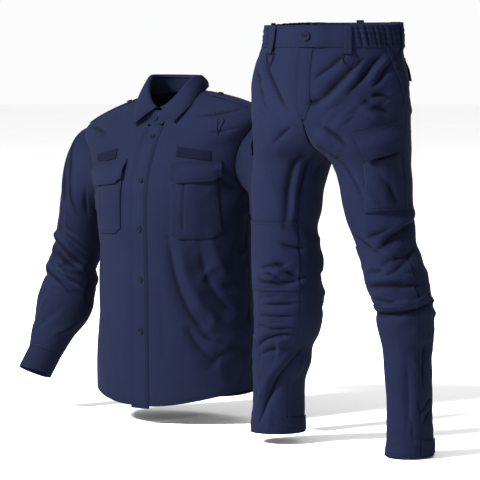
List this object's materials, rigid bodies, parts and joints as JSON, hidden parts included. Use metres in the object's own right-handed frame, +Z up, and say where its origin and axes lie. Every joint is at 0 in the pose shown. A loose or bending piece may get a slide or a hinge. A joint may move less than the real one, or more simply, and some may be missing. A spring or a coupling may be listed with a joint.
{
  "type": "tactical suit",
  "caption": "Navy two-piece field uniform: a long-sleeved button shirt with flap pockets and cargo trousers with knee panels and hanging rings.",
  "frame": {"origin": "middle of the shirt's shoulders, level with where the wearer holds it up", "axes": "+Z up; -Y is the side the set is seen from. The shirt faces -Y turned 33 degrees towards -X, and the trousers stand in front of its left sleeve turned 32 degrees the same way"},
  "size_m": [1.0078, 1.0268, 0.9856],
  "materials": {
    "ripstop": "matt navy cotton and polyester ripstop",
    "hook_tape": "dark loop tape",
    "button": "navy moulded",
    "ring": "dark moulded"
  },
  "bodies": {
    "root": {"back_loop": "ripstop", "back_pocket_flap_left": "ripstop", "back_pocket_flap_right": "ripstop", "cargo_flap_left": "ripstop", "cargo_flap_right": "ripstop", "cargo_pocket_left": "ripstop", "cargo_pocket_right": "ripstop", "chest_pocket_left": "ripstop", "chest_pocket_right": "ripstop", "collar_button": "button", "collar_fall": "ripstop", "collar_stand": "ripstop", "cuff_button_left": "button", "cuff_button_right": "button", "cuff_left": "ripstop", "cuff_right": "ripstop", "fly": "ripstop", "front_button_1": "button", "front_button_2": "button", "front_button_3": "button", "front_button_4": "button", "front_button_5": "button", "hem_tab_left": "ripstop", "hem_tab_right": "ripstop", "knee_panel_left": "ripstop", "knee_panel_right": "ripstop", "name_strip_left": "hook_tape", "name_strip_right": "hook_tape", "pen_loop": "ripstop", "placket": "ripstop", "pocket_edge_left": "ripstop", "pocket_edge_right": "ripstop", "pocket_flap_left": "ripstop", "pocket_flap_right": "ripstop", "ring_loop_left": "ripstop", "ring_loop_right": "ripstop", "shirt_back": "ripstop", "shirt_front_left": "ripstop", "shirt_front_right": "ripstop", "shirt_yoke": "ripstop", "shoulder_strap_left": "ripstop", "shoulder_strap_right": "ripstop", "side_loop_left": "ripstop", "side_loop_right": "ripstop", "sleeve_left": "ripstop", "sleeve_right": "ripstop", "strap_button_left": "button", "strap_button_right": "button", "trouser_back_left": "ripstop", "trouser_back_right": "ripstop", "trouser_front_left": "ripstop", "trouser_front_right": "ripstop", "waist_button": "button", "waistband": "ripstop"},
    "ring_right": {"ring_right": "ring"},
    "ring_left": {"ring_left": "ring"}
  },
  "joints": [
    {"name": "ring_right_swing", "type": "hinge", "parent": "root", "child": "ring_right", "pos_m": [0.22335, -0.5737, 0.16916], "axis": [-0.5254, 0.8508, 0.0066], "range_deg": [0, 80]},
    {"name": "ring_left_swing", "type": "hinge", "parent": "root", "child": "ring_left", "pos_m": [0.39806, -0.68287, 0.16916], "axis": [-0.9951, 0.0985, -0.0064], "range_deg": [0, 80]}
  ]
}
